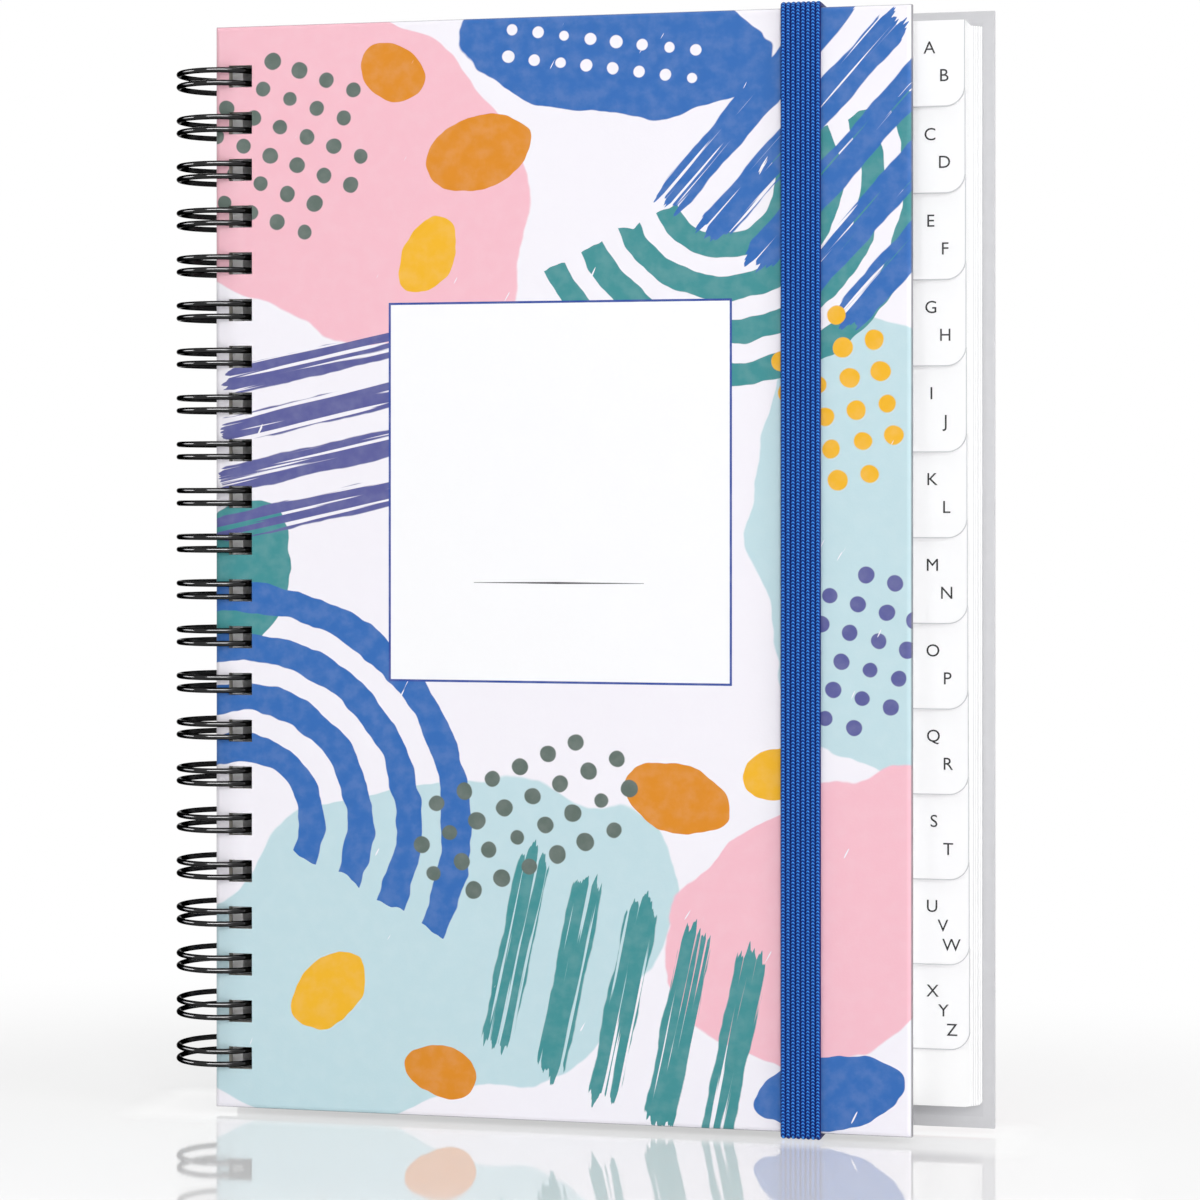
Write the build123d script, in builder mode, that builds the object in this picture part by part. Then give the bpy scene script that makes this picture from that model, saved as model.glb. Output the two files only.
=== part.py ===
"""A wire-bound address book: hard covers, step-cut index sections, twin-loop wire and an elastic band."""
import os
from math import cos, hypot, radians, sin, sqrt

from build123d import *

os.makedirs("parts", exist_ok=True)

# Covers: a board wrapped in printed paper, with a plain liner pasted inside
cover_height = 196.0
front_cover_width = 127.0
back_cover_width = 140.0
board_thickness = 1.8
wrap_thickness = 0.2
liner_thickness = 0.2
turn_in_width = 2.0
cover_edge_radius = 0.9

# Paper block: every section is one stiff index sheet and the leaves behind it
section_names = ["ab", "cd", "ef", "gh", "ij", "kl", "mn", "op", "qr", "st", "uvw", "xyz"]
index_thickness = 0.25
leaf_thickness = 0.12
leaves_per_batch = 3
last_batch_count = 6
batch_overhang = 0.37
body_gap = 0.05
spine_setback = 2.0
fore_setback = 4.0
head_setback = 2.75
tail_setback = 4.0
last_strip_height = 9.9
tab_depth = 11.0
tab_corner_radius = 3.5
page_corner_radius = 1.0

# Twin-loop wire, three loops to the inch, and the holes it is threaded through
loop_pitch = 25.4 / 3
row_end_margin = 9.0
wire_diameter = 1.0
wire_sides = 6
leg_spacing = 2.3
axis_outside_spine = 0.6
hole_margin = 2.6
hole_height = 4.0
page_hole_width = 4.0
wire_clearance = 0.15
seam_start_angle = 83.0
seam_width_angle = 25.0
base_bend_radius = 1.2

# Elastic band, held in the back cover by its two ends
band_width = 7.0
band_thickness = 0.9
band_centre_from_spine = 107.7
band_clearance = 0.1
tail_run = 12.0
tail_end_run = 9.0
tail_bend_inside = 0.25

# Sizes that follow from the ones above
cover_thickness = wrap_thickness + board_thickness + liner_thickness
section_count = len(section_names)
batch_counts = [1] * (section_count - 1) + [last_batch_count]
batch_thickness = leaves_per_batch * leaf_thickness
paper_thickness = section_count * index_thickness + sum(batch_counts) * batch_thickness
book_thickness = 2 * cover_thickness + paper_thickness + (section_count + 1) * body_gap
half_thickness = book_thickness / 2

loop_inner_radius = hypot(axis_outside_spine + hole_margin, half_thickness) + wire_clearance
loop_radius = loop_inner_radius + wire_diameter / 2
loop_outer_radius = loop_inner_radius + wire_diameter

overall_width = loop_outer_radius + axis_outside_spine + back_cover_width
spine_x = loop_outer_radius + axis_outside_spine - overall_width / 2
axis_x = spine_x - axis_outside_spine
cover_bottom = band_thickness + band_clearance
cover_middle = cover_bottom + cover_height / 2
loop_count = int((cover_height - 2 * row_end_margin) / loop_pitch) + 1

cover_hole_left = spine_x + hole_margin
wire_reach = sqrt(loop_outer_radius**2 - (half_thickness - cover_thickness) ** 2)
cover_hole_right = axis_x + wire_reach + wire_clearance
page_hole_right = axis_x + loop_outer_radius + wire_clearance
page_left = spine_x + spine_setback
page_right = spine_x + back_cover_width - fore_setback
page_bottom = cover_bottom + tail_setback
page_top = cover_bottom + cover_height - head_setback
tab_pitch = (page_top - page_bottom - last_strip_height) / section_count

band_left = spine_x + band_centre_from_spine - band_width / 2
band_line = half_thickness + band_clearance + band_thickness / 2
band_edge_bend = band_clearance + band_thickness / 2
tail_bend = tail_bend_inside + band_thickness / 2
slot_height = band_thickness + 2 * band_clearance
slot_width = band_width + 2 * band_clearance
slot_middle = cover_height / 2 - tail_run - tail_bend
pocket_line = half_thickness - wrap_thickness - board_thickness + slot_height / 2
band_turn_y = (band_clearance + band_thickness) / 2


def upright(y):
    """A plane facing the reader at depth y, whose own axes are X and Z."""
    return Plane.XZ.offset(-y)


def hole_row(left, right, mode):
    """Draws the row of binding holes in the sketch that is open, as faces or as cuts."""
    with Locations(((left + right) / 2, cover_middle)):
        with GridLocations(loop_pitch, loop_pitch, 1, loop_count):
            Rectangle(right - left, hole_height, mode=mode)


def cover_outline(width, inset):
    """Draws a cover's rectangle, drawn in by the inset on all four sides."""
    with Locations((spine_x + width / 2, cover_middle)):
        Rectangle(width - 2 * inset, cover_height - 2 * inset)


def finish(piece, name):
    """Labels a finished piece and writes it."""
    piece.part.label = name
    export_step(piece.part, f"parts/{name}.step")


# Front and back covers, from the outer face inwards: wrap, board, liner
for cover, width, side in (("front", front_cover_width, -1), ("back", back_cover_width, 1)):
    outer_y = side * half_thickness
    board_outer_y = side * (half_thickness - wrap_thickness)
    board_inner_y = side * (half_thickness - wrap_thickness - board_thickness)
    inner_y = side * (half_thickness - cover_thickness)

    # The board's full shape, which the wrap also goes round
    with BuildPart() as blank:
        with BuildSketch(upright(max(board_outer_y, board_inner_y))):
            cover_outline(width, wrap_thickness)
        extrude(amount=board_thickness)
        outer_rim = blank.faces().sort_by(Axis.Y)[0 if side < 0 else -1].edges()
        fillet(outer_rim, radius=cover_edge_radius - wrap_thickness)

    with BuildPart() as board:
        add(blank.part)
        with BuildSketch(upright(max(board_outer_y, board_inner_y))):
            hole_row(cover_hole_left, cover_hole_right, Mode.ADD)
        extrude(amount=board_thickness, mode=Mode.SUBTRACT)
        if cover == "back":
            # Slots that let the band through, and pockets under the liner for its ends
            for end in (-1, 1):
                slot_z = cover_middle + end * slot_middle
                pocket_end_z = slot_z - end * (tail_bend + tail_end_run + band_clearance)
                pocket_start_z = slot_z + end * slot_height / 2
                with BuildSketch(upright(board_outer_y)):
                    with Locations((band_left + band_width / 2, slot_z)):
                        Rectangle(slot_width, slot_height)
                extrude(amount=board_thickness, mode=Mode.SUBTRACT)
                with BuildSketch(upright(board_inner_y)):
                    with Locations((band_left + band_width / 2, (pocket_start_z + pocket_end_z) / 2)):
                        Rectangle(slot_width, abs(pocket_start_z - pocket_end_z))
                extrude(amount=-slot_height, mode=Mode.SUBTRACT)
    finish(board, f"{cover}_board")

    with BuildPart() as liner:
        with BuildSketch(upright(max(board_inner_y, inner_y))):
            cover_outline(width, turn_in_width)
            hole_row(cover_hole_left, cover_hole_right, Mode.SUBTRACT)
        extrude(amount=liner_thickness)
    finish(liner, f"{cover}_liner")

    with BuildPart() as wrap:
        with BuildSketch(upright(max(outer_y, inner_y))):
            cover_outline(width, 0)
        extrude(amount=cover_thickness)
        outer_rim = wrap.faces().sort_by(Axis.Y)[0 if side < 0 else -1].edges()
        fillet(outer_rim, radius=cover_edge_radius)
        add(blank.part, mode=Mode.SUBTRACT)
        with BuildSketch(upright(max(board_inner_y, inner_y))):
            cover_outline(width, turn_in_width)
        extrude(amount=liner_thickness, mode=Mode.SUBTRACT)
        with BuildSketch(upright(max(outer_y, inner_y))):
            hole_row(cover_hole_left, cover_hole_right, Mode.ADD)
            if cover == "back":
                with Locations((band_left + band_width / 2, cover_middle)):
                    with GridLocations(1, 2 * slot_middle, 1, 2):
                        Rectangle(slot_width, slot_height)
        extrude(amount=cover_thickness, mode=Mode.SUBTRACT)
    finish(wrap, f"{cover}_wrap")


def section_outline(cut_below, overhang):
    """Draws a sheet with its binding holes, cut away at the fore edge below the given height."""
    sheet_right = page_right + overhang
    lower_radius = page_corner_radius
    with BuildSketch(mode=Mode.PRIVATE) as sheet:
        with Locations((page_left, page_bottom)):
            Rectangle(sheet_right - page_left, page_top - page_bottom, align=(Align.MIN, Align.MIN))
        if cut_below > page_bottom:
            lower_radius = tab_corner_radius
            with Locations((sheet_right, page_bottom)):
                cut_height = cut_below - page_bottom
                Rectangle(tab_depth, cut_height, align=(Align.MAX, Align.MIN), mode=Mode.SUBTRACT)
        lower, upper = sheet.vertices().group_by(Axis.X)[-1].sort_by(Axis.Y)
        fillet(lower, radius=lower_radius)
        fillet(upper, radius=page_corner_radius)
        hole_row(page_hole_right - page_hole_width, page_hole_right, Mode.SUBTRACT)
    add(sheet.sketch)


# Index sections from front to back, each cut away below its own tab. The leaves behind the last
# index sheet are whole, and fan out a little, one batch past the next
section_front = -half_thickness + cover_thickness + body_gap
for number, (letters, batch_count) in enumerate(zip(section_names, batch_counts)):
    tab_bottom = page_top - (number + 1) * tab_pitch
    leaves_bottom = page_bottom if number == section_count - 1 else tab_bottom
    index_back = section_front + index_thickness
    leaves_back = index_back + batch_count * batch_thickness

    with BuildPart() as index_sheet:
        with BuildSketch(upright(index_back)):
            section_outline(tab_bottom, 0)
        extrude(amount=index_thickness)
    finish(index_sheet, f"index_{letters}")

    with BuildPart() as leaves:
        for batch in range(batch_count):
            with BuildSketch(upright(index_back + (batch + 1) * batch_thickness)):
                section_outline(leaves_bottom, batch * batch_overhang)
            extrude(amount=batch_thickness)
    finish(leaves, f"leaves_{letters}")
    section_front = leaves_back + body_gap


def on_loop(angle, z):
    """A point of the wire's centre line, by its angle round the binding axis and its height."""
    return Vector(axis_x + loop_radius * cos(radians(angle)), loop_radius * sin(radians(angle)), z)


# Binding wire: one unbroken wire, two legs to a loop, with its seam of tips and bases behind the book
half_leg_angle = (360 - seam_width_angle) / 2
leg_middle_angle = seam_start_angle - half_leg_angle
tip_angle = seam_start_angle - 2 * half_leg_angle
tip_way = Vector(sin(radians(tip_angle)), -cos(radians(tip_angle)), 0)
base_way = Vector(-sin(radians(seam_start_angle)), cos(radians(seam_start_angle)), 0)
bend_lean = base_bend_radius * sin(radians(45))
bend_drop = base_bend_radius * (1 - cos(radians(45)))

with BuildPart() as binding_wire:
    with BuildLine() as wire_line:
        for loop in range(loop_count):
            loop_z = cover_middle + loop_pitch * ((loop_count - 1) / 2 - loop)
            for leg_z, from_angle, to_angle in (
                (loop_z + leg_spacing / 2, seam_start_angle, tip_angle),
                (loop_z - leg_spacing / 2, tip_angle, seam_start_angle),
            ):
                for start, stop in ((from_angle, leg_middle_angle), (leg_middle_angle, to_angle)):
                    middle = (start + stop) / 2
                    ThreePointArc(on_loop(start, leg_z), on_loop(middle, leg_z), on_loop(stop, leg_z))
                if to_angle == tip_angle:
                    tip_top = on_loop(tip_angle, leg_z)
                    tip_end = on_loop(tip_angle, loop_z) + tip_way * (leg_spacing / 2)
                    ThreePointArc(tip_top, tip_end, tip_top - Vector(0, 0, leg_spacing))
            if loop < loop_count - 1:
                base_top = on_loop(seam_start_angle, loop_z - leg_spacing / 2)
                base_foot = on_loop(seam_start_angle, loop_z - loop_pitch + leg_spacing / 2)
                run_top = base_top + base_way * base_bend_radius - Vector(0, 0, base_bend_radius)
                run_foot = base_foot + base_way * base_bend_radius + Vector(0, 0, base_bend_radius)
                ThreePointArc(base_top, base_top + base_way * bend_lean - Vector(0, 0, bend_drop), run_top)
                Line(run_top, run_foot)
                ThreePointArc(run_foot, base_foot + base_way * bend_lean + Vector(0, 0, bend_drop), base_foot)
    wire_path = wire_line.wire()
    with BuildSketch(Plane(origin=wire_path @ 0, z_dir=wire_path % 0)):
        RegularPolygon(wire_diameter / 2, wire_sides)
    sweep(path=wire_path, clean=False)
finish(binding_wire, "binding_wire")

# Elastic band: the run down the front, the turns over both edges and the two ends in the back cover
with BuildPart() as elastic_front_run:
    with BuildSketch(upright(-half_thickness - band_clearance)):
        with Locations((band_left + band_width / 2, cover_middle)):
            Rectangle(band_width, cover_height)
    extrude(amount=band_thickness)
finish(elastic_front_run, "elastic_front_run")

for place, end in (("top", 1), ("bottom", -1)):
    edge_z = cover_middle + end * cover_height / 2
    run_z = edge_z + end * band_edge_bend
    turn = band_line - band_edge_bend
    bend_out = band_edge_bend * sin(radians(45))
    with BuildPart() as edge_run:
        with BuildSketch(Plane.YZ.offset(band_left)):
            with BuildLine() as edge_line:
                bend_z = edge_z + end * bend_out
                ThreePointArc((-band_line, edge_z), (-turn - bend_out, bend_z), (-turn, run_z))
                Line((-turn, run_z), (turn, run_z))
                ThreePointArc((turn, run_z), (turn + bend_out, bend_z), (band_line, edge_z))
            trace(line_width=band_thickness)
        extrude(amount=band_width)
    finish(edge_run, f"elastic_{place}_run")

    slot_z = cover_middle + end * slot_middle
    bend_z = slot_z + end * tail_bend
    end_bend_z = slot_z - end * tail_bend
    inward = tail_bend * (1 - cos(radians(45)))
    along = tail_bend * sin(radians(45))
    with BuildPart() as tail:
        with BuildSketch(Plane.YZ.offset(band_left)):
            with BuildLine() as tail_line:
                Line((band_line, edge_z), (band_line, bend_z))
                ThreePointArc(
                    (band_line, bend_z),
                    (band_line - inward, bend_z - end * along),
                    (band_line - tail_bend, slot_z),
                )
                Line((band_line - tail_bend, slot_z), (pocket_line + tail_bend, slot_z))
                ThreePointArc(
                    (pocket_line + tail_bend, slot_z),
                    (pocket_line + inward, end_bend_z + end * along),
                    (pocket_line, end_bend_z),
                )
                Line((pocket_line, end_bend_z), (pocket_line, end_bend_z - end * tail_end_run))
            trace(line_width=band_thickness)
        extrude(amount=band_width)
    finish(tail, f"elastic_{place}_tail")

# The wire's least gap to itself, measured between points that are well apart along it
sample_count = 60 * loop_count
spacing = wire_path.length / sample_count
samples = [wire_path @ (k / sample_count) for k in range(sample_count + 1)]
apart = int(4 * wire_diameter / spacing) + 1
reach = int(3 * sample_count / loop_count)
least = min(
    (samples[k] - samples[m]).length
    for k in range(sample_count + 1)
    for m in range(k + apart, min(k + reach, sample_count + 1))
)
print(f"wire length {wire_path.length:.1f} mm, least gap to itself {least - wire_diameter:.2f} mm")
print(f"thickness over the covers {book_thickness:.2f} mm, loop radius {loop_radius:.3f} mm")
print(f"binding axis at x {axis_x:.3f} mm, band centre at x {band_left + band_width / 2:.3f} mm")
print(f"band turns about y {band_turn_y:.3f} mm")
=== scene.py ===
# %% [markdown]
# # A wire-bound address book
# The solids of the book come in first, already in their places and in metres. What they get here is what
# solids lack: a printed cover, paper, a round black wire, a ribbed elastic band, and a place to stand.

# %% Load the solids
from math import cos, pi, radians, sin

import bmesh
import bpy
from mathutils import Matrix, Vector


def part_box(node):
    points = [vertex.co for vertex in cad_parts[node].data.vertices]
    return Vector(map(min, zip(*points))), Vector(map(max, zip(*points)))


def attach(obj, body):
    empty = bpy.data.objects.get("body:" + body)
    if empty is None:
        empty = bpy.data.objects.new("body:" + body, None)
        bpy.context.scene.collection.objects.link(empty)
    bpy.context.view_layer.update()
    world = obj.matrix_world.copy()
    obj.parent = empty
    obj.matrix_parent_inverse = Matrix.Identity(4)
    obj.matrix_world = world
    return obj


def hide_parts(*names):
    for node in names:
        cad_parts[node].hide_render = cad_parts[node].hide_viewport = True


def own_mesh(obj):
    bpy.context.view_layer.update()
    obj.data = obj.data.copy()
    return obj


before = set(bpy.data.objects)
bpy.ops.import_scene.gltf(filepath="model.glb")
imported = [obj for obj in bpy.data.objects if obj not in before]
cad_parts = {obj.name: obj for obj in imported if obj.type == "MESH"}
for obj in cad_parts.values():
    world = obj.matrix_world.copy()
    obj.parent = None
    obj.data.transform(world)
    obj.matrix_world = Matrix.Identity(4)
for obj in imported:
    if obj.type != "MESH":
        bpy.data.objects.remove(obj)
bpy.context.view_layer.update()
mm = 0.001

# %% [markdown]
# ## Camera
# The covers are flat and upright, so their corners in the picture are enough to work out where the lens
# was. It stood level, a little to the right of the book, and its picture was cropped off centre. A level
# lens with a shift keeps upright edges upright, which a tilted one would not.

# %% Camera
camera_data = bpy.data.cameras.new("camera")
camera_data.sensor_width = 36.0
camera_data.lens = 98.92
camera_data.shift_y = -0.0929
camera_data.clip_start = 0.01
camera = bpy.data.objects.new("camera", camera_data)
camera.location = (0.13964, -0.57368, 0.11323)
camera.rotation_euler = (radians(90), 0, radians(13.224))
bpy.context.scene.collection.objects.link(camera)
bpy.context.scene.camera = camera
bpy.context.scene.view_settings.view_transform = "Standard"
print("camera", [round(value, 4) for value in camera.location])

# %% [markdown]
# ## Shader sums
# A finish is easier to read as arithmetic than as a picture of boxes and lines. `Value` holds one output
# of a node, and a sum on it adds a Math node. `Finish` holds a material, and its `node` method makes any
# other node.

# %% Shader helpers
class Value:
    """One output of a node. Sums and comparisons on it add Math nodes."""

    def __init__(self, finish, socket):
        self.finish = finish
        self.socket = socket

    def sum(self, operation, first, second=None):
        inputs = {0: first} if second is None else {0: first, 1: second}
        return self.finish.node("ShaderNodeMath", {"operation": operation}, inputs)

    def __add__(self, other):
        return self.sum("ADD", self, other)

    def __radd__(self, other):
        return self.sum("ADD", other, self)

    def __sub__(self, other):
        return self.sum("SUBTRACT", self, other)

    def __rsub__(self, other):
        return self.sum("SUBTRACT", other, self)

    def __mul__(self, other):
        return self.sum("MULTIPLY", self, other)

    def __truediv__(self, other):
        return self.sum("DIVIDE", self, other)

    def __lt__(self, other):
        return self.sum("LESS_THAN", self, other)

    def __gt__(self, other):
        return self.sum("GREATER_THAN", self, other)

    def __abs__(self):
        return self.sum("ABSOLUTE", self)

    def part(self):
        """What is left of the value after its whole number, from 0 up to 1."""
        return self.sum("FRACT", self)

    def wave(self):
        return self.sum("SINE", self)

    def most(self, other):
        return self.sum("MAXIMUM", self, other)


class Finish:
    """A material, or the world, whose nodes are added one by one."""

    def __init__(self, holder):
        holder.use_nodes = True
        self.holder = holder
        self.tree = holder.node_tree

    def node(self, kind, settings=None, inputs=None, output=0):
        """Adds a node, sets it, fills its sockets with values or links, and returns one of its outputs."""
        made = self.tree.nodes.new(kind)
        for name, value in (settings or {}).items():
            setattr(made, name, value)
        for name, value in (inputs or {}).items():
            if isinstance(value, Value):
                self.tree.links.new(value.socket, made.inputs[name])
            else:
                made.inputs[name].default_value = value
        return Value(self, made.outputs[output])

    def mix(self, share, first, second):
        """Goes from the first colour to the second as the share goes from 0 to 1."""
        settings = {"data_type": "RGBA"}
        return self.node("ShaderNodeMix", settings, {0: share, 6: first, 7: second}, 2)

    def noise(self, place, scale, detail=2.0):
        inputs = {"Vector": place, "Scale": scale, "Detail": detail}
        return self.node("ShaderNodeTexNoise", None, inputs)

    def soft_step(self, value, low, high):
        """0 below low, 1 above high, and a soft step between. With low above high it steps down."""
        settings = {"interpolation_type": "SMOOTHSTEP"}
        inputs = {"Value": value, "From Min": low, "From Max": high}
        return self.node("ShaderNodeMapRange", settings, inputs)

    def place(self):
        """Object coordinates in millimetres, as a vector."""
        spot = self.node("ShaderNodeTexCoord", None, None, "Object")
        return self.node("ShaderNodeVectorMath", {"operation": "SCALE"}, {0: spot, "Scale": 1000.0})

    def axes(self, vector):
        """The three numbers of a vector."""
        first = self.node("ShaderNodeSeparateXYZ", None, {0: vector})
        outputs = first.socket.node.outputs
        return [Value(self, outputs[number]) for number in range(3)]

    def vector(self, x, y, z=0.0):
        return self.node("ShaderNodeCombineXYZ", None, {0: x, 1: y, 2: z})

    def length(self, vector):
        return self.node("ShaderNodeVectorMath", {"operation": "LENGTH"}, {0: vector}, "Value")

    def bump(self, height, strength, distance):
        inputs = {"Height": height, "Strength": strength, "Distance": distance}
        return self.node("ShaderNodeBump", None, inputs, "Normal")

    def surface(self, **sockets):
        """Fills the sockets of the material's own shader."""
        shader = self.tree.nodes["Principled BSDF"]
        for name, value in sockets.items():
            socket = shader.inputs[name.replace("_", " ")]
            if isinstance(value, Value):
                self.tree.links.new(value.socket, socket)
            else:
                socket.default_value = value


def new_finish(name):
    return Finish(bpy.data.materials.new(name))


def ink(code):
    """A colour as printers and screens write it, turned into the linear numbers that a shader wants."""
    channels = [int(code[start : start + 2], 16) / 255 for start in (0, 2, 4)]
    linear = [((c + 0.055) / 1.055) ** 2.4 if c > 0.04045 else c / 12.92 for c in channels]
    return (*linear, 1.0)


print("white ink", ink("FFFFFF"))

# %% [markdown]
# ## Studio
# The book stands on a polished white floor in front of white. Round the book the floor is a real surface
# that takes its shadow and mirrors it like glass over white. It is lightened under the book, where the
# picture has no dark line, and further off it turns plain white, so that no horizon shows. The world is
# white for what the lens and the mirror images see, and softer for what it sheds on the book, so that a
# colour renders about as it is written. Six soft boxes do the rest: right, left, above, low in front,
# behind, and from the side for the tabs.

# %% Floor, world and lamps
floor_build = bmesh.new()
bmesh.ops.create_grid(floor_build, x_segments=1, y_segments=1, size=6.0)
floor_mesh = bpy.data.meshes.new("floor")
floor_build.to_mesh(floor_mesh)
floor_build.free()
floor = bpy.data.objects.new("floor", floor_mesh)
bpy.context.scene.collection.objects.link(floor)

world_light = 0.4
# How much of the floor is plain white near the book, and how much more of it under the book.
near_white = 0.2
under_white = 0.35
# The book's half sizes, and how far from it the floor's three zones change, in millimetres.
book_half = (76, 10)
under_zone = 8.0
white_from = 40.0
white_to = 160.0


def seen_plainly(finish):
    """1 where the lens, a mirror image or a clear thing looks, and 0 for the light that is shed."""
    camera_ray = finish.node("ShaderNodeLightPath", None, None, "Is Camera Ray")
    rays = camera_ray.socket.node.outputs
    mirror_ray = Value(finish, rays["Is Glossy Ray"])
    clear_ray = Value(finish, rays["Is Transmission Ray"])
    return camera_ray.most(mirror_ray).most(clear_ray)


polished = new_finish("polished_floor")
polished.surface(Base_Color=(0.93, 0.93, 0.93, 1), Roughness=0.05, Metallic=0.35)
floor_x, floor_y, _ = polished.axes(polished.place())
beside_book = (abs(floor_x) - book_half[0]).most(0.0)
before_book = (abs(floor_y) - book_half[1]).most(0.0)
distance = polished.length(polished.vector(beside_book, before_book))
under_book = polished.soft_step(distance, under_zone, 0.0)
far_off = polished.soft_step(distance, white_from, white_to)
white_share = near_white + under_book * under_white + far_off * (1 - near_white)
white_share = white_share * seen_plainly(polished)
glow = polished.node("ShaderNodeEmission", None, {"Color": (1, 1, 1, 1), "Strength": 1.0})
shader = Value(polished, polished.tree.nodes["Principled BSDF"].outputs[0])
joined = polished.node("ShaderNodeMixShader", None, {0: white_share, 1: shader, 2: glow})
polished.tree.links.new(joined.socket, polished.tree.nodes["Material Output"].inputs["Surface"])
floor_mesh.materials.append(polished.holder)

world = bpy.data.worlds.new("studio")
bpy.context.scene.world = world
air = Finish(world)
shell = world.node_tree.nodes["Background"]
shell.inputs["Color"].default_value = (1, 1, 1, 1)
strength = world_light + seen_plainly(air) * (1 - world_light)
world.node_tree.links.new(strength.socket, shell.inputs["Strength"])


def lamp(name, place, target, size, watts):
    """A square soft box that faces a target."""
    data = bpy.data.lights.new(name, "AREA")
    data.size = size
    data.energy = watts
    box = bpy.data.objects.new(name, data)
    box.location = place
    box.rotation_euler = (Vector(target) - Vector(place)).to_track_quat("-Z", "Y").to_euler()
    bpy.context.scene.collection.objects.link(box)
    return box


middle = (0, 0, 0.1)
lamp("key_box", (0.6, -1.15, 0.95), middle, 0.22, 3.5)
lamp("fill_box", (-0.5, -1.25, 0.6), middle, 0.3, 1.6)
lamp("top_box", (0.15, -0.25, 1.45), middle, 0.9, 5.5)
lamp("low_box", (0.4, -1.4, 0.12), (0, 0, 0.05), 0.4, 1.95)
lamp("back_box", (-0.4, 1.4, 0.8), middle, 0.9, 4.5)
lamp("side_box", (1.35, -0.35, 0.45), middle, 0.5, 5.6)
print("lamps", len(bpy.data.lights))

# %% [markdown]
# ## Cover print
# Each cover is a board wrapped in printed paper. The print is a loose abstract of painted pebbles, arches,
# dots and brush strokes round a bare white label. It is drawn with sums on Object coordinates, so it wraps
# over the cover's edges and stays sharp at any distance, which a picture would not. The back has the same
# sheet of print turned half round, so that the two covers aren't mirror images.

# %% Cover print: ground and colours
front_low, front_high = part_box("front_wrap")
back_low, back_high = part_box("back_wrap")
spine_x = front_low.x / mm
cover_foot = front_low.z / mm

royal = ink("2A68B5")
aqua = ink("C2DDE4")
teal = ink("3B8E92")
pink = ink("F6BECB")
orange = ink("DE8A12")
yellow = ink("F3B61C")
olive = ink("5C6B64")
slate = ink("575A98")
ground = ink("F6F3FA")

cover_print = new_finish("cover_print")
place = cover_print.place()
across, depth, up = cover_print.axes(place)
cover_height = (front_high.z - front_low.z) / mm
back_width = (back_high.x - back_low.x) / mm
on_back = depth > 0.0
from_spine = across - spine_x
from_foot = up - cover_foot
print_x = from_spine + on_back * (back_width - from_spine * 2)
print_z = from_foot + on_back * (cover_height - from_foot * 2)
flat = cover_print.vector(print_x, print_z)
wobble = cover_print.noise(flat, 0.13, 2.0) - 0.5
sway = cover_print.noise(flat, 0.035, 1.0) - 0.5
grain = cover_print.noise(flat, 1.6, 3.0)
picture = ground
print("cover print starts at x", round(spine_x, 2), "z", round(cover_foot, 2))

# %% [markdown]
# Every motif has its own small plane: a Mapping node in Texture mode moves a motif's middle to zero and
# turns its long side onto X. From there a pebble is a length under 1, a ring is a length near a few radii,
# and a stroke is a distance from a short line, with fine streaks along it where the brush ran dry.

# %% Cover print: motifs
def own_plane(middle, turn, size=(1.0, 1.0)):
    """The print's plane as one motif sees it."""
    inputs = {
        "Vector": flat,
        "Location": (*middle, 0),
        "Rotation": (0, 0, radians(turn)),
        "Scale": (*size, 1),
    }
    return cover_print.node("ShaderNodeMapping", {"vector_type": "TEXTURE"}, inputs)


def pebble(under, colour, middle, size, turn):
    """A rounded painted shape with a hand-drawn edge."""
    rough = 2.2 / min(size)
    reach = cover_print.length(own_plane(middle, turn, size)) + sway * 0.7 + wobble * rough
    return cover_print.mix(cover_print.soft_step(reach, 1.0, 0.985), under, colour)


def rings(under, colour, middle, pitch, count, turn):
    """Painted half rings, one inside the other."""
    mine = own_plane(middle, turn)
    aside = cover_print.axes(mine)[1]
    reach = cover_print.length(mine) / pitch + wobble * 0.3
    band = cover_print.soft_step(abs(reach.part() - 0.5), 0.29, 0.27)
    inside = (reach < count) * (reach > 1.0) * (aside + wobble * 7 > 0.0)
    return cover_print.mix(band * inside, under, colour)


def brush_rows(under, colour, middle, turn, length, width, pitch, count, lead, dryness):
    """Pulls of a flat brush side by side, each a little ahead of the last, streaked where it ran dry."""
    along, aside, _ = cover_print.axes(own_plane(middle, turn))
    row = aside / pitch + count / 2
    beside = (row.part() - 0.5) * pitch
    ahead = along - (row - row.part() + (1 - count) / 2) * lead
    bristles = cover_print.noise(cover_print.vector(along * 0.025, aside * 1.0, turn), 1.0, 2.0)
    beyond = (abs(ahead) - length / 2 + (bristles - 0.5) * width * 1.6).most(0.0)
    reach = cover_print.length(cover_print.vector(beyond, beside)) + wobble * width * 0.25
    body = cover_print.soft_step(reach, width / 2, width / 2 - 0.25) * (row > 0.0) * (row < count)
    streaks = cover_print.soft_step(bristles, 0.62 - dryness, 0.66 - dryness)
    return cover_print.mix(body * (1 - streaks), under, colour)


def dots(under, colour, middle, size, turn, pitch, radius):
    """A patch of painted dots in rows."""
    along, aside, _ = cover_print.axes(own_plane(middle, turn))
    step_along = (along / pitch).part() - 0.5
    step_aside = (aside / pitch).part() - 0.5
    reach = cover_print.length(cover_print.vector(step_along, step_aside)) + wobble * 0.22
    spot = cover_print.soft_step(reach, radius / pitch, radius / pitch - 0.04)
    home_along = (along - step_along * pitch) / size[0]
    home_aside = (aside - step_aside * pitch) / size[1]
    patch = cover_print.length(cover_print.vector(home_along, home_aside)) < 1.0
    return cover_print.mix(spot * patch, under, colour)


# %% [markdown]
# The layout goes from the ground up: large pebbles, then arches and brush strokes, then small pebbles and
# dots. Each line covers what the lines before it left. Places and sizes are in millimetres from the cover's
# spine edge and foot, and turns are in degrees. Fine scratches of bare ground come last.

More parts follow.
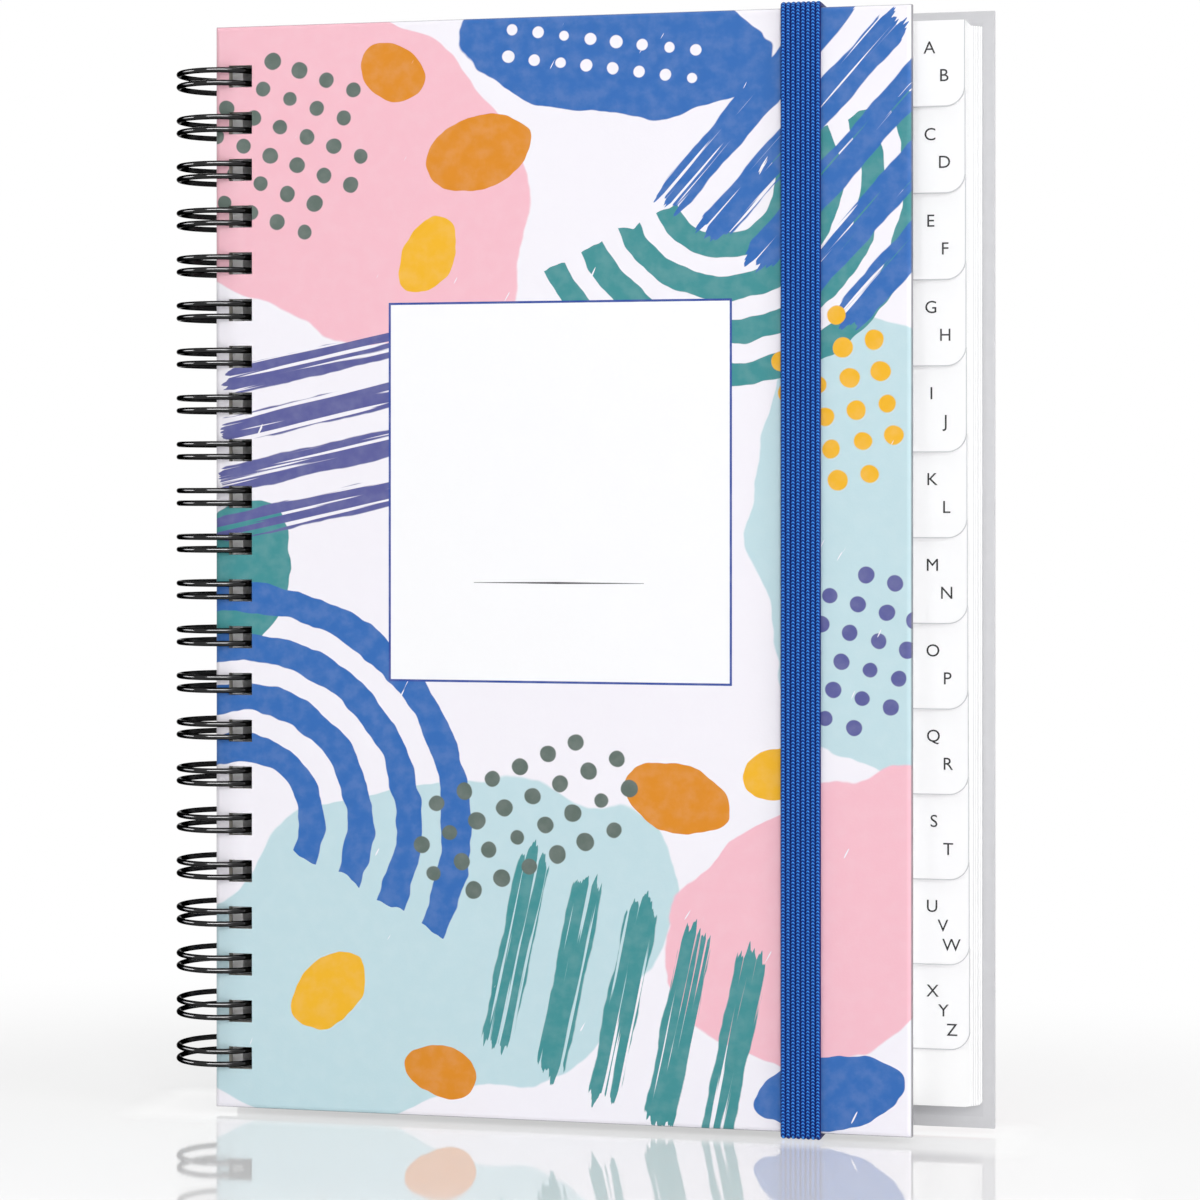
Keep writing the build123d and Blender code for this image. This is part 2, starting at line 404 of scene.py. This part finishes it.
# %% Cover print: layout
picture = pebble(picture, aqua, (38, 30), (47, 29), 18)
picture = pebble(picture, pink, (22, 170), (42, 27), -30)
picture = pebble(picture, aqua, (120, 104), (23, 38), 8)
picture = pebble(picture, pink, (112, 36), (31, 22), 35)
picture = pebble(picture, royal, (74, 190), (27, 13), -8)
picture = pebble(picture, teal, (4, 96), (15, 10), 80)
picture = rings(picture, royal, (5, 52), 9.0, 5.0, -28)
picture = rings(picture, teal, (94, 166), 7.5, 5.0, 205)
picture = brush_rows(picture, royal, (116, 170), 48, 44, 6.2, 9.4, 5, -1.5, 0.02)
picture = brush_rows(picture, teal, (76, 22), 78, 30, 6.0, 10.5, 5, 2.0, 0.03)
picture = brush_rows(picture, slate, (20, 122), 12, 34, 5.2, 8.6, 4, 2.5, 0.06)
picture = pebble(picture, orange, (50, 172), (9.5, 6.2), 20)
picture = pebble(picture, orange, (33, 187), (6.0, 4.4), -35)
picture = pebble(picture, yellow, (40, 154), (7.2, 5.0), 60)
picture = pebble(picture, orange, (86, 58), (9.5, 6.0), -20)
picture = pebble(picture, yellow, (103, 62), (6.0, 4.6), 15)
picture = pebble(picture, yellow, (22, 22), (8.4, 5.6), 40)
picture = pebble(picture, orange, (43, 8), (7.0, 5.0), -15)
picture = pebble(picture, royal, (112, 7), (13, 6.5), 10)
picture = dots(picture, ground, (72, 189), (20, 7), -8, 4.8, 1.1)
picture = dots(picture, olive, (58, 54), (25, 12), 24, 5.6, 1.6)
picture = dots(picture, olive, (14, 174), (15, 17), -20, 5.4, 1.5)
picture = dots(picture, yellow, (114, 128), (13, 16), 12, 5.6, 1.8)
picture = dots(picture, slate, (118, 84), (12, 16), -16, 5.2, 1.5)
scratched = own_plane((0, 0), 62)
scratch_along, scratch_aside, _ = cover_print.axes(scratched)
scratches = cover_print.noise(cover_print.vector(scratch_along * 0.1, scratch_aside * 0.75), 1.0, 2.0)
picture = cover_print.mix(cover_print.soft_step(scratches, 0.735, 0.75), picture, ground)
print("print nodes", len(cover_print.tree.nodes))

# %% [markdown]
# The label is a white panel with a thin frame and one tapered rule, on the front only. The wrap's inner
# turn-ins, towards the pages, are left the plain grey of the liner, and the outer rim of its folded edge on
# the front cover is darkened with painted shade. Depths are measured from the middle of the book.

# %% Cover print: label, edges and finish
label_middle = (-1.1, 112.6)
label_half = (31.1, 33.7)
label_frame = 0.2
label_rule_height = 96.5
label_rule_half = 15.5
label_rule_thickness = 0.17
label_rule_taper = 0.13
turn_in_depth = 5.3
back_edge = 1.0
# Depths where the painted shade on the front cover's rim starts, is full and stops.
painted_edge_shade_start = 6.85
painted_edge_shade_full = 6.45
painted_edge_shade_stop = 5.0

aside_label = abs(across - label_middle[0])
above_label = abs(up - label_middle[1])
label_edge = (aside_label - label_half[0]).most(above_label - label_half[1])
on_front = depth < 0.0
picture = cover_print.mix((label_edge < 0.0) * on_front, picture, ink("FCFCFE"))
picture = cover_print.mix((abs(label_edge) < label_frame) * on_front, picture, ink("27479C"))
taper = label_rule_thickness - aside_label * (label_rule_taper / label_rule_half)
label_rule = (abs(up - label_rule_height) < taper) * (aside_label < label_rule_half) * on_front
picture = cover_print.mix(label_rule, picture, ink("3A3A3C"))

turned_in = (abs(depth) < turn_in_depth).most(across > back_high.x / mm - back_edge)
picture = cover_print.mix(turned_in, picture, ink("CDCDD0"))
# Painted shade: the outer rim of the front cover's rounded edge is darkened.
painted_edge_shade = cover_print.soft_step(abs(depth), painted_edge_shade_start, painted_edge_shade_full) * (abs(depth) > painted_edge_shade_stop) * on_front
picture = cover_print.mix(painted_edge_shade * 0.8, picture, ink("5A5A60"))
paint = cover_print.noise(flat, 0.35, 4.0)
picture = cover_print.mix(cover_print.soft_step(paint, 0.35, 0.75) * 0.05, picture, ink("FFFFFF"))
cover_print.surface(
    Base_Color=picture,
    Roughness=0.42 + grain * 0.10,
    Specular_IOR_Level=0.35,
    Normal=cover_print.bump(cover_print.noise(place, 2.4, 2.0), 0.12, 0.00012),
)


def dress(node, finish):
    """Gives a solid of the frame its finish."""
    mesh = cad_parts[node].data
    mesh.materials.clear()
    mesh.materials.append(finish.holder)


dress("front_wrap", cover_print)
dress("back_wrap", cover_print)
print("label", label_half, "mm each way")

# %% [markdown]
# ## Boards and liners
# Inside the wrap is grey board, which shows only in the binding holes. A pale grey liner is pasted over the
# wrap's turned-in edges. Both are paper with long soft fibres, so both use one recipe in two colours.

# %% Boards and liners
def fibre_paper(name, colour, dark, fleck):
    """Paper with drawn-out fibres: a slow tint, fine flecks and a slight tooth."""
    paper = new_finish(name)
    spot = paper.place()
    x, y, z = paper.axes(spot)
    drawn = paper.vector(x * 0.35, y, z * 1.2)
    fibres = paper.noise(drawn, 2.2, 4.0)
    cloud = paper.noise(spot, 0.05, 2.0)
    tint = paper.mix(paper.soft_step(cloud, 0.3, 0.7) * 0.2, colour, dark)
    tint = paper.mix(paper.soft_step(fibres, 0.62, 0.74) * fleck, tint, dark)
    height = fibres * 0.6 + paper.noise(spot, 5.0, 2.0) * 0.4
    paper.surface(Base_Color=tint, Roughness=0.78 + fibres * 0.12, Normal=paper.bump(height, 0.10, 0.00010))
    return paper


grey_board = fibre_paper("grey_board", ink("A9A59C"), ink("8C887F"), 0.6)
liner_paper = fibre_paper("liner_paper", ink("CBCBCE"), ink("BFBFC3"), 0.25)
for cover in ("front", "back"):
    dress(f"{cover}_board", grey_board)
    dress(f"{cover}_liner", liner_paper)
print("liner", [round(value, 3) for value in ink("CBCBCE")[:3]])

# %% [markdown]
# ## Pages
# An index sheet is stiff card and the leaves behind it are writing paper. Both are ruled on the part that the
# cover hides, and plain along the tabs. The leaves of a set are one solid, so fine lines show where one leaf
# ends and the next begins. They belong on the cut edges alone, and the surface's own direction tells an edge
# from a face. Where the leaves fan out past the index card, a painted shadow line lies beside each step, and
# each tab has a painted shade line just inside its cut edge.

# %% Pages
page_low, page_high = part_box("index_xyz")
page_left = page_low.x / mm
page_right = page_high.x / mm
page_foot = page_low.z / mm
page_head = page_high.z / mm
rule_pitch = 7.0
leaf_thickness = 0.12
batch_thickness = 0.36
batch_overhang = 0.37
section_pitch = (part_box("index_cd")[0].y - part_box("index_ab")[0].y) / mm
first_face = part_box("index_ab")[0].y / mm
sections = sorted(node[len("index_") :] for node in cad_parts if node.startswith("index_"))
last_strip = 9.9
tab_pitch = (page_head - page_foot - last_strip) / len(sections)
tab_depth = 11.0
tab_corner = 3.5
ruled_left = page_left + 12
ruled_right = page_right - 14
ruled_foot = page_foot + 9
ruled_head = page_head - 12
margin_x = page_left + 40
rule_line = 0.07
entry_line = 0.12
margin_line = 0.08
rules_per_entry = 4


def ruled_paper(name, colour, dark, layered):
    """White paper with faint rules. Leaves show their layers and a painted shadow beside each fanned step,
    and index card a painted shade line inside the cut edge of its tab.
    """
    paper = new_finish(name)
    spot = paper.place()
    x, y, z = paper.axes(spot)
    fibres = paper.noise(paper.vector(x * 0.5, y, z * 1.3), 3.0, 3.0)
    cloud = paper.noise(spot, 0.04, 2.0)
    tint = paper.mix(paper.soft_step(cloud, 0.35, 0.65) * 0.35 + fibres * 0.15, colour, dark)
    in_rules = (z - page_foot) / rule_pitch
    in_entries = (in_rules + 1.5) / rules_per_entry
    line = abs(in_rules.part() - 0.5) < rule_line / rule_pitch
    entry = abs(in_entries.part() - 0.5) < entry_line / rule_pitch / rules_per_entry
    field = (x > ruled_left) * (x < ruled_right) * (z > ruled_foot) * (z < ruled_head)
    tint = paper.mix(line * field * 0.75, tint, ink("A9B4C2"))
    tint = paper.mix(entry * field * 0.8, tint, ink("7E8FA8"))
    margin = (abs(x - margin_x) < margin_line) * field
    tint = paper.mix(margin * 0.6, tint, ink("9FB4D6"))
    if layered:
        facing = paper.axes(paper.node("ShaderNodeTexCoord", None, None, "Normal"))[1]
        on_edge = abs(facing) < 0.5
        first_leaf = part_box("leaves_xyz")[0].y / mm
        leaf_edge = abs(((y - first_leaf) / leaf_thickness + 0.5).part() - 0.5)
        batch_edge = abs(((y - first_leaf) / batch_thickness + 0.17).part() - 0.5)
        tint = paper.mix(paper.soft_step(leaf_edge, 0.16, 0.0) * on_edge * 0.12, tint, ink("B9B9BE"))
        tint = paper.mix(paper.soft_step(batch_edge, 0.16, 0.05) * on_edge * 0.4, tint, ink("A6A6AC"))
        # Painted shadow: a thin grey line beside each step where the leaves fan out past the index card.
        from_last_step = (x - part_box("leaves_xyz")[1].x / mm) / batch_overhang
        painted_step_shadow = paper.soft_step(from_last_step.part(), 0.45, 0.15) * (x > page_right + 0.05)
        tint = paper.mix(painted_step_shadow * 0.4, tint, ink("9A9AA0"))
    else:
        number = (y - first_face + 0.05) / section_pitch
        from_tab_foot = z - (page_head - tab_pitch) + (number - number.part()) * tab_pitch
        from_fore_edge = page_right - x
        past_side = (tab_corner - from_fore_edge).most(0.0)
        past_foot = (tab_corner - from_tab_foot).most(0.0)
        inside_edge = tab_corner - paper.length(paper.vector(past_side, past_foot))
        on_tab = (from_fore_edge < tab_depth) * (from_fore_edge > 0.02)
        # Painted shade: a thin grey line just inside the cut edge of each tab.
        tint = paper.mix(paper.soft_step(inside_edge, 0.26, 0.10) * on_tab * 0.7, tint, ink("A4A4AA"))
    paper.surface(Base_Color=tint, Roughness=0.70 + fibres * 0.14, Normal=paper.bump(fibres, 0.06, 0.00008))
    return paper


index_card = ruled_paper("index_card", ink("FDFDFE"), ink("F9F9FA"), False)
leaf_paper = ruled_paper("leaf_paper", ink("FEFEFE"), ink("FAFAFA"), True)
for section in sections:
    dress(f"index_{section}", index_card)
    dress(f"leaves_{section}", leaf_paper)
print("sections", sections)

# %% [markdown]
# ## Tab letters
# Plain index letters step down each tab. A letter is a text curve with a hair of thickness, made a mesh and
# then turned to face the reader. One capital H is measured first, so that every letter has the same cap
# height.

# %% Tab letters
letter_ink = new_finish("letter_ink")
ink_spot = letter_ink.place()
ink_cover = letter_ink.noise(ink_spot, 6.0, 2.0)
letter_ink.surface(Base_Color=letter_ink.mix(ink_cover, ink("0C0C0E"), ink("1C1C1E")), Roughness=0.6)

cap_height = 2.1


def letter_mesh(letter):
    """One letter as a thin closed mesh in the XY plane, in the font's own size."""
    curve = bpy.data.curves.new("letter", "FONT")
    curve.body = letter
    curve.align_x = "CENTER"
    curve.resolution_u = 4
    curve.extrude = 0.004
    holder = bpy.data.objects.new("letter", curve)
    bpy.context.scene.collection.objects.link(holder)
    bpy.context.view_layer.update()
    solved = holder.evaluated_get(bpy.context.evaluated_depsgraph_get())
    mesh = bpy.data.meshes.new_from_object(solved)
    bpy.data.objects.remove(holder)
    return mesh


gauge = letter_mesh("H")
letter_scale = cap_height / max(vertex.co.y for vertex in gauge.vertices)
print("letter scale", round(letter_scale, 3))

# %% [markdown]
# Two letters go down a tab in two steps, and three letters in three smaller ones. A step is a distance from
# the tab's fore edge and one from its head. The letters of one tab are one piece, which rides on its section.

# %% Tab letters in place
step_two = [(6.2, 4.65), (3.7, 9.5)]
step_three = [(6.6, 4.65), (4.7, 8.05), (3.2, 11.4)]
letter_lift = 0.008
for number, section in enumerate(sections):
    tab_head = page_head - tab_pitch * number
    face_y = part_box(f"index_{section}")[0].y / mm
    steps = step_two if len(section) == 2 else step_three
    build = bmesh.new()
    for letter, (from_edge, from_head) in zip(section.upper(), steps):
        start = len(build.verts)
        build.from_mesh(letter_mesh(letter))
        build.verts.ensure_lookup_table()
        mine = build.verts[start:]
        foot = tab_head - from_head - cap_height / 2
        bmesh.ops.scale(build, vec=(letter_scale, letter_scale, letter_scale), verts=mine)
        bmesh.ops.rotate(build, matrix=Matrix.Rotation(radians(90), 3, "X"), verts=mine)
        bmesh.ops.translate(build, vec=(page_right - from_edge, face_y - letter_lift, foot), verts=mine)
    bmesh.ops.scale(build, vec=(mm, mm, mm), verts=build.verts)
    mesh = bpy.data.meshes.new(f"letters_{section}")
    build.to_mesh(mesh)
    build.free()
    mesh.materials.append(letter_ink.holder)
    letters = bpy.data.objects.new(f"letters_{section}", mesh)
    bpy.context.scene.collection.objects.link(letters)
    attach(letters, f"section_{section}")
print("lettered tabs", len(sections))

# %% [markdown]
# ## Runs and turns
# The wire and the elastic band are both one section drawn along a path of straight runs and round turns. A
# straight run is an extrude and a turn is a spin, so two helpers that pass a ring of edges on are enough for
# both, and the ring needs no path object.

# %% Helpers for runs and turns
sharp_angle = 60


def run(build, ring, way):
    """Extrudes a ring of edges along a vector in millimetres and returns the new ring."""
    made = bmesh.ops.extrude_edge_only(build, edges=ring)["geom"]
    bmesh.ops.translate(build, vec=way, verts=corners_of(made))
    return [item for item in made if isinstance(item, bmesh.types.BMEdge)]


def turn(build, ring, centre, axis, angle, steps):
    """Spins a ring of edges about an axis and returns the ring at its far end."""
    made = bmesh.ops.spin(
        build, geom=ring, cent=centre, axis=axis, dvec=(0, 0, 0), angle=radians(angle), steps=steps
    )["geom_last"]
    return [item for item in made if isinstance(item, bmesh.types.BMEdge)]


def corners_of(geometry):
    return [item for item in geometry if isinstance(item, bmesh.types.BMVert)]


def all_of(build):
    return build.verts[:] + build.edges[:] + build.faces[:]


def middle_of(ring):
    corners = {vertex for edge in ring for vertex in edge.verts}
    return sum((vertex.co for vertex in corners), Vector()) / len(corners)


def piece_from(build, name, finish):
    """Makes a bmesh in millimetres an object in metres, smooth except at its sharp edges."""
    bmesh.ops.recalc_face_normals(build, faces=build.faces)
    bmesh.ops.scale(build, vec=(mm, mm, mm), verts=build.verts)
    for face in build.faces:
        face.smooth = True
    for edge in build.edges:
        edge.smooth = edge.calc_face_angle(0) < radians(sharp_angle)
    mesh = bpy.data.meshes.new(name)
    build.to_mesh(mesh)
    build.free()
    mesh.materials.append(finish.holder)
    piece = bpy.data.objects.new(name, mesh)
    bpy.context.scene.collection.objects.link(piece)
    return piece


print("helpers ready")

# %% [markdown]
# ## Binding wire
# The binding is one unbroken wire. Each loop has two legs that run round the spine edge of the pages, a
# closed tip that hooks into the seam behind the book, and an open base that leads on to the next loop. It is
# drawn as a dark polished metal with a dark edge tint, so that its rims stay black in a white studio.

# %% Binding wire
black_coat = new_finish("black_wire_coat")
coat_spot = black_coat.place()
coat_cloud = black_coat.noise(coat_spot, 0.8, 3.0)
black_coat.surface(
    Base_Color=black_coat.mix(coat_cloud, ink("2A2A2B"), ink("353535")),
    Roughness=0.08 + coat_cloud * 0.08,
    Metallic=1.0,
    Specular_Tint=(0.1, 0.1, 0.1, 1),
    Normal=black_coat.bump(black_coat.noise(coat_spot, 3.0, 2.0), 0.03, 0.00005),
)

axis_gap = 0.6
axis_x = spine_x - axis_gap
loop_count = 22
loop_pitch = 25.4 / 3
loop_radius = 8.424
wire_radius = 0.5
leg_spacing = 2.3
seam_start = 83.0
leg_angle = 335.0
base_bend = 1.2
wire_sides = 12
leg_steps = 56
tip_steps = 10
base_steps = 5
weld_distance = 0.005
cover_middle = (front_low.z + front_high.z) / 2 / mm
skyward = Vector((0, 0, 1))


def on_loop(angle, z):
    """A point of the wire's centre line."""
    return Vector((axis_x + loop_radius * cos(radians(angle)), loop_radius * sin(radians(angle)), z))


tip_angle = seam_start - leg_angle
tip_way = Vector((sin(radians(tip_angle)), -cos(radians(tip_angle)), 0))
base_way = Vector((-sin(radians(seam_start)), cos(radians(seam_start)), 0))
outward = Vector((cos(radians(seam_start)), sin(radians(seam_start)), 0))

first_z = cover_middle + loop_pitch * (loop_count - 1) / 2
stand = Matrix((outward, skyward, outward.cross(skyward))).transposed().to_4x4()
stand.translation = on_loop(seam_start, first_z + leg_spacing / 2)


def draw_loop(build, ring, loop_z):
    """Two legs and the tip between them."""
    ring = turn(build, ring, (axis_x, 0, 0), skyward, -leg_angle, leg_steps)
    ring = turn(build, ring, on_loop(tip_angle, loop_z), skyward.cross(tip_way), 180, tip_steps)
    return turn(build, ring, (axis_x, 0, 0), skyward, leg_angle, leg_steps)


wire_build = bmesh.new()
bmesh.ops.create_circle(
    wire_build, cap_ends=False, segments=wire_sides, radius=wire_radius, matrix=stand
)
ring = draw_loop(wire_build, list(wire_build.edges), first_z)
last_loop = bmesh.ops.duplicate(wire_build, geom=all_of(wire_build))["geom"]
last_corners = corners_of(last_loop)
bmesh.ops.translate(wire_build, vec=(0, 0, -loop_pitch * (loop_count - 1)), verts=last_corners)
straight = loop_pitch - leg_spacing - 2 * base_bend
leg_foot = on_loop(seam_start, first_z - leg_spacing / 2)
next_leg = on_loop(seam_start, first_z - loop_pitch + leg_spacing / 2)
base_axis = skyward.cross(base_way)
ring = turn(wire_build, ring, leg_foot - skyward * base_bend, base_axis, 90, base_steps)
ring = run(wire_build, ring, (0, 0, -straight))
ring = turn(wire_build, ring, next_leg + skyward * base_bend, base_axis, 90, base_steps)
print("base ends off the next loop by", round((middle_of(ring) - next_leg).length, 5), "mm")

# %% [markdown]
# The last loop was copied before the base was drawn, because nothing follows it. The loops between are
# copies of the first one with its base, each a pitch further down, and all are merged where they meet. Two
# long lamps light the wire alone: one for the streak in front of the cover, one for the streak further left.

# %% Binding wire: every loop
first_corners = set(wire_build.verts) - set(last_corners)


def in_first_loop(item):
    corner = item if isinstance(item, bmesh.types.BMVert) else item.verts[0]
    return corner in first_corners


first_loop = [item for item in all_of(wire_build) if in_first_loop(item)]
for loop in range(1, loop_count - 1):
    copied = bmesh.ops.duplicate(wire_build, geom=first_loop)["geom"]
    bmesh.ops.translate(wire_build, vec=(0, 0, -loop_pitch * loop), verts=corners_of(copied))
bmesh.ops.remove_doubles(wire_build, verts=wire_build.verts, dist=weld_distance)
open_ends = [edge for edge in wire_build.edges if edge.is_boundary]
print("edges at the wire's two ends", len(open_ends))
bmesh.ops.holes_fill(wire_build, edges=open_ends, sides=0)

wire = piece_from(wire_build, "round_wire", black_coat)
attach(wire, "back_cover")
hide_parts("binding_wire")
wire_alone = bpy.data.collections.new("wire_alone")
wire_alone.objects.link(wire)
wire_middle = (axis_x * mm, 0, 0.1)
# Each lamp's name, place, width and height in metres, and watts.
streaks = (
    ("cover_streak", (-0.07, -1.14, 0.72), 1.13, 0.4, 58.0),
    ("tip_streak", (-1.41, -0.08, 0.33), 1.25, 0.36, 52.0),
)
for streak_name, streak_place, streak_width, streak_height, watts in streaks:
    streak = lamp(streak_name, streak_place, wire_middle, streak_width, watts)
    streak.data.shape = "RECTANGLE"
    streak.data.size_y = streak_height
    streak.light_linking.receiver_collection = wire_alone
print("wire faces", len(wire.data.polygons))

# %% [markdown]
# ## Elastic band
# The band is woven elastic: eight fat ribs side by side, each wrapped by a fine thread. The ribs are real, as
# a ridged section drawn along the band, and the thread is colour and bump. The grooves between the ribs are
# darkened with painted shade, and the thread's stitches get a painted highlight on their crests and painted
# shade between them. The band runs down the front, over both edges of the covers, and into two slots in the
# back cover.

# %% Elastic: weave
band_low, band_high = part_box("elastic_front_run")
band_left = band_low.x / mm
band_right = band_high.x / mm
rib_count = 8
rib_pitch = (band_right - band_left) / rib_count
stitch_pitch = 0.58

weave = new_finish("elastic_weave")
weave_spot = weave.place()
weave_x, weave_y, weave_z = weave.axes(weave_spot)
in_ribs = (weave_x - band_left) / rib_pitch
over_rib = abs(in_ribs.part() - 0.5) * 2
every_other = (in_ribs / 2).part() > 0.5
along_band = (weave_z + weave_y) / stitch_pitch + every_other * 0.5 + over_rib * 0.35
thread = ((along_band * (2 * pi)).wave() + 1) / 2
crown = weave.soft_step(over_rib, 0.95, 0.25)
fuzz = weave.noise(weave_spot, 2.5, 3.0)
# Painted shade: the grooves between the ribs are darker than their crests.
body = weave.mix(crown, ink("001560"), ink("0048AE"))
# Painted shade between the thread's stitches, then a painted highlight on their crests.
body = weave.mix(weave.soft_step(thread, 0.55, 0.1) * crown * 0.85, body, ink("001C6A"))
body = weave.mix(weave.soft_step(thread, 0.55, 0.9) * crown * 0.9, body, ink("46A2FA"))
body = weave.mix(weave.soft_step(fuzz, 0.55, 0.8) * 0.3, body, ink("003896"))
weave.surface(
    Base_Color=body,
    Roughness=0.52 + fuzz * 0.2,
    Sheen_Weight=0.03,
    Specular_IOR_Level=0.2,
    Normal=weave.bump(thread * crown + fuzz * 0.25, 0.7, 0.00014),
)
print("rib pitch", round(rib_pitch, 3), "mm")

# %% [markdown]
# The front run rides on a body of its own that flips to the back. The two turns over the covers' edges stay
# on the back cover.

# %% Elastic: pieces
band_front = band_low.y / mm
band_thickness = (band_high.y - band_low.y) / mm
half_book = -front_low.y / mm
cover_head = front_high.z / mm
rib_depth = 0.22
points_per_rib = 6
edge_steps = 8


def ribbed_ring(build, outer_y, inner_y, z):
    """A level ring of edges, ridged on its outer side and plain on its inner side."""
    lean = rib_depth if outer_y < inner_y else -rib_depth
    outline = []
    for step in range(rib_count * points_per_rib + 1):
        swell = abs(sin(pi * step / points_per_rib))
        x = band_left + rib_pitch * step / points_per_rib
        outline.append(build.verts.new((x, outer_y + lean * (1 - swell), z)))
    outline.append(build.verts.new((band_right, inner_y, z)))
    outline.append(build.verts.new((band_left, inner_y, z)))
    face = build.faces.new(outline)
    return list(face.edges)


def elastic(name, build, ring, body, node):
    """Caps the far end of a length of band and makes it the piece that stands in for a node."""
    bmesh.ops.contextual_create(build, geom=ring)
    piece = piece_from(build, name, weave)
    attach(piece, body)
    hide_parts(node)
    return piece


front_build = bmesh.new()
front_ring = ribbed_ring(front_build, band_front, band_front + band_thickness, cover_foot)
front_ring = run(front_build, front_ring, (0, 0, cover_head - cover_foot))
elastic("band_front", front_build, front_ring, "band", "elastic_front_run")

rightward = Vector((1, 0, 0))
for end, edge_z, side in (("top", cover_head, 1), ("bottom", cover_foot, -1)):
    edge_build = bmesh.new()
    edge_ring = ribbed_ring(edge_build, band_front, band_front + band_thickness, edge_z)
    edge_ring = turn(edge_build, edge_ring, (0, -half_book, edge_z), rightward, -90 * side, edge_steps)
    edge_ring = run(edge_build, edge_ring, (0, 2 * half_book, 0))
    edge_ring = turn(edge_build, edge_ring, (0, half_book, edge_z), rightward, -90 * side, edge_steps)
    over_edge = elastic(f"band_over_{end}", edge_build, edge_ring, "back_cover", f"elastic_{end}_run")
    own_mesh(over_edge)
    print(over_edge.name, len(over_edge.data.polygons))

# %% [markdown]
# Behind the book each end runs along the cover for a short way, bends through a slot in it, and lies in a
# shallow pocket on the inner side of the board, under the liner.

# %% Elastic: ends in the back cover
wrap_thickness = 0.2
board_thickness = 1.8
pocket_room = 0.2
tail_run = 12.0
tail_bend = 0.7
tail_end_run = 9.0
tail_steps = 6
band_line = -band_front - band_thickness / 2
pocket_line = half_book - wrap_thickness - board_thickness + (band_thickness + pocket_room) / 2
for end, edge_z, side in (("top", cover_head, 1), ("bottom", cover_foot, -1)):
    tail_build = bmesh.new()
    tail_ring = ribbed_ring(tail_build, -band_front, -band_front - band_thickness, edge_z)
    tail_ring = run(tail_build, tail_ring, (0, 0, -side * tail_run))
    bend_z = edge_z - side * tail_run
    bend_middle = (0, band_line - tail_bend, bend_z)
    tail_ring = turn(tail_build, tail_ring, bend_middle, rightward, -90 * side, tail_steps)
    tail_ring = run(tail_build, tail_ring, (0, pocket_line - band_line + 2 * tail_bend, 0))
    pocket_middle = (0, pocket_line + tail_bend, bend_z - 2 * side * tail_bend)
    tail_ring = turn(tail_build, tail_ring, pocket_middle, rightward, 90 * side, tail_steps)
    tail_ring = run(tail_build, tail_ring, (0, 0, -side * tail_end_run))
    print("tail ends at", [round(value, 2) for value in middle_of(tail_ring)])
    elastic(f"band_{end}_tail", tail_build, tail_ring, "back_cover", f"elastic_{end}_tail")
